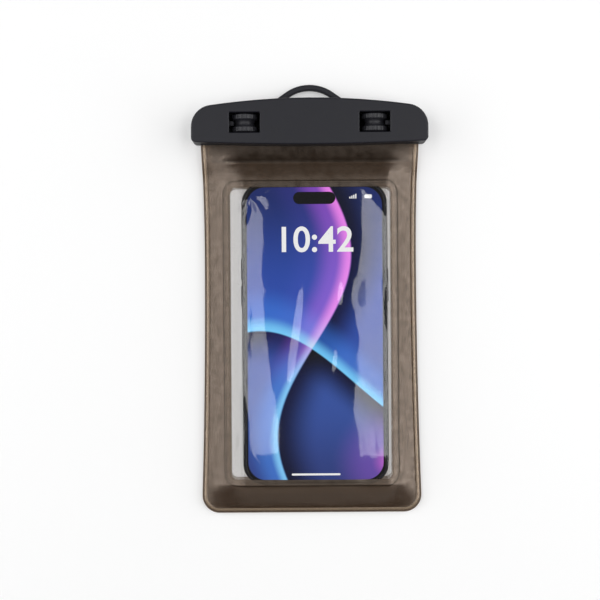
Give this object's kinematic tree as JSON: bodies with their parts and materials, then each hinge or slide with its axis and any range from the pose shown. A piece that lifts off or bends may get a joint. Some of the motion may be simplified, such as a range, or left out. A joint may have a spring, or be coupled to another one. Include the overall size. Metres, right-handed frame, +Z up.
{
  "type": "waterproof phone pouch",
  "caption": "Flat smoky film pouch with clear windows, closed by a hard clamp bar with ribbed lock wheels and a lanyard loop, holding a phone.",
  "frame": {"origin": "centre of the bounding box in X and Y, on the surface that the pouch lies on", "axes": "+Y from the foot of the bag to the clamp, +X to the right seen from the screen side, +Z up out of the screen"},
  "size_m": [0.114, 0.2088, 0.0145],
  "materials": {
    "bar_plastic": "matt charcoal ABS with a fine grain",
    "wheel_plastic": "satin black ABS, finely ribbed",
    "silicone": "soft grey silicone",
    "smoky_film": "satin translucent smoky brown soft vinyl film",
    "clear_film": "glossy clear soft vinyl film",
    "phone_metal": "black anodised satin",
    "phone_display": "polished glass over a lit display",
    "phone_rear_glass": "frosted dark glass",
    "lens_glass": "polished dark glass"
  },
  "bodies": {
    "pouch": {"rear_bar": "bar_plastic", "seal_strip": "silicone", "front_panel": "smoky_film", "rear_panel": "smoky_film", "front_window": "clear_film", "rear_window": "clear_film", "front_mouth_strip": "smoky_film", "rear_mouth_strip": "smoky_film", "phone_frame": "phone_metal", "phone_screen": "phone_display", "phone_back": "phone_rear_glass", "phone_camera_island": "phone_metal", "phone_lens_upper": "lens_glass", "phone_lens_lower": "lens_glass"},
    "front_bar": {"front_bar": "bar_plastic"},
    "left_wheel": {"left_wheel": "wheel_plastic"},
    "right_wheel": {"right_wheel": "wheel_plastic"},
    "power_button": {"power_button": "phone_metal"},
    "volume_up_button": {"volume_up_button": "phone_metal"},
    "volume_down_button": {"volume_down_button": "phone_metal"}
  },
  "joints": [
    {"name": "front_bar_lift", "type": "slide", "parent": "pouch", "child": "front_bar", "axis": [0, 0, 1], "range_m": [0, 0.025]},
    {"name": "left_wheel_turn", "type": "hinge", "parent": "front_bar", "child": "left_wheel", "pos_m": [-0.0313, 0.0848, 0.0074], "axis": [0, 1, 0], "range_deg": [0, 90]},
    {"name": "right_wheel_turn", "type": "hinge", "parent": "front_bar", "child": "right_wheel", "pos_m": [0.0313, 0.0848, 0.0074], "axis": [0, -1, 0], "range_deg": [0, 90]},
    {"name": "power_button_press", "type": "slide", "parent": "pouch", "child": "power_button", "axis": [-1, 0, 0], "range_m": [0, 0.0003], "stiffness_N_per_m": 1000},
    {"name": "volume_up_button_press", "type": "slide", "parent": "pouch", "child": "volume_up_button", "axis": [1, 0, 0], "range_m": [0, 0.0003], "stiffness_N_per_m": 1000},
    {"name": "volume_down_button_press", "type": "slide", "parent": "pouch", "child": "volume_down_button", "axis": [1, 0, 0], "range_m": [0, 0.0003], "stiffness_N_per_m": 1000}
  ]
}
